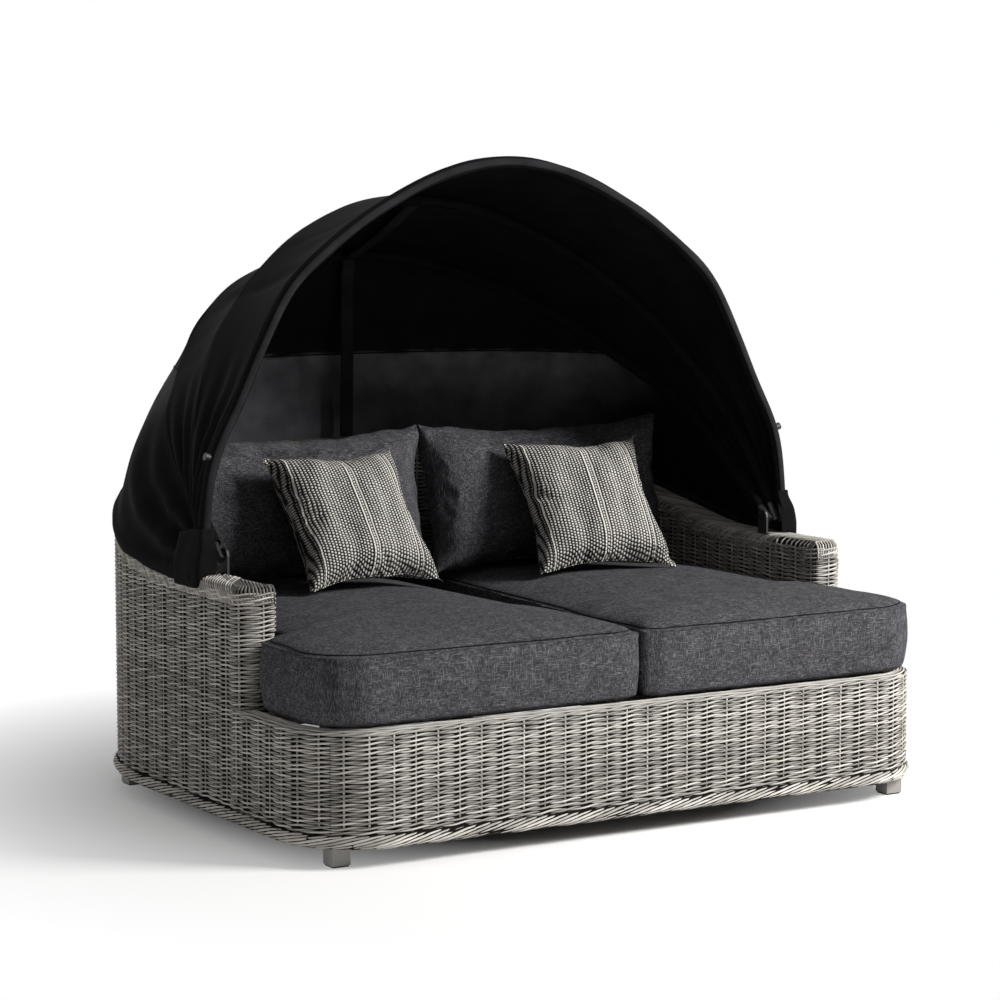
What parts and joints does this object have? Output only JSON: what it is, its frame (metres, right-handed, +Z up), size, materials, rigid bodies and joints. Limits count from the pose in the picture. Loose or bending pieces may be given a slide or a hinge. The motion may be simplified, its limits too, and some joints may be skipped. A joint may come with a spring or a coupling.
{
  "type": "outdoor daybed with canopy",
  "caption": "Wide woven outdoor daybed with a curved shell, loose seat and back cushions, and a hooped cloth canopy that folds back over the rear.",
  "frame": {"origin": "on the floor, under the middle of the shell's plan", "axes": "+X to the sitter's left as seen from the front, across the width; +Y to the back; +Z up"},
  "size_m": [1.86, 1.63, 1.6772],
  "materials": {
    "weave": "woven round resin strands, weathered grey beige",
    "border": "braided resin strands",
    "frame": "mill",
    "foot": "satin anodised grey",
    "hoop": "black powder coat",
    "fastener": "plain stainless",
    "plastic": "moulded black",
    "canopy": "matte black outdoor cloth",
    "binding": "charcoal webbing",
    "cushion": "charcoal heathered weave",
    "pillow": "chunky black and cream weave"
  },
  "bodies": {
    "root": {"front_apron": "weave", "left_arm_shell": "weave", "right_arm_shell": "weave", "back_shell": "weave", "braided_border": "border", "base_frame": "frame", "arm_and_back_frame": "frame", "seat_slat_1": "frame", "seat_slat_2": "frame", "seat_slat_3": "frame", "seat_slat_4": "frame", "seat_slat_5": "frame", "seat_slat_6": "frame", "seat_slat_7": "frame", "foot_front_left": "foot", "foot_front_right": "foot", "foot_rear_left": "foot", "foot_rear_right": "foot", "glide_front_left": "plastic", "glide_front_right": "plastic", "glide_rear_left": "plastic", "glide_rear_right": "plastic", "left_pivot_bracket": "hoop", "right_pivot_bracket": "hoop", "left_pivot_bolt": "fastener", "right_pivot_bolt": "fastener", "left_pivot_nut": "fastener", "right_pivot_nut": "fastener", "left_washer_1": "plastic", "left_washer_2": "plastic", "right_washer_1": "plastic", "right_washer_2": "plastic", "canopy_back_panel": "canopy", "canopy_lower_strap": "binding", "left_seat_cushion": "cushion", "right_seat_cushion": "cushion", "left_back_cushion": "cushion", "right_back_cushion": "cushion", "left_throw_pillow": "pillow", "right_throw_pillow": "pillow"},
    "rear_hoop_body": {"rear_hoop": "hoop", "canopy_middle_panel": "canopy", "canopy_upper_strap": "binding"},
    "middle_hoop_body": {"middle_hoop": "hoop", "canopy_front_panel": "canopy"},
    "front_hoop_body": {"front_hoop_arch": "hoop", "front_hoop_left_leg": "hoop", "front_hoop_right_leg": "hoop", "left_hoop_knob": "plastic", "right_hoop_knob": "plastic", "canopy_front_binding": "binding"}
  },
  "joints": [
    {"name": "canopy_fold", "type": "hinge", "parent": "root", "child": "rear_hoop_body", "pos_m": [0, -0.14, 0.68], "axis": [-1, 0, 0], "range_deg": [0, 8], "deforming": ["canopy_back_panel", "canopy_lower_strap"]},
    {"name": "middle_hoop_turn", "type": "hinge", "parent": "rear_hoop_body", "child": "middle_hoop_body", "pos_m": [0, -0.14, 0.68], "axis": [-1, 0, 0], "range_deg": [0, 14.5], "deforming": ["canopy_middle_panel", "canopy_upper_strap"]},
    {"name": "front_hoop_turn", "type": "hinge", "parent": "middle_hoop_body", "child": "front_hoop_body", "pos_m": [0, -0.14, 0.68], "axis": [-1, 0, 0], "range_deg": [0, 22.5], "deforming": ["canopy_front_panel"]}
  ],
  "couplings": [
    {"joint": "middle_hoop_turn", "follows": "canopy_fold", "ratio": 1.8125},
    {"joint": "front_hoop_turn", "follows": "canopy_fold", "ratio": 2.8125}
  ]
}
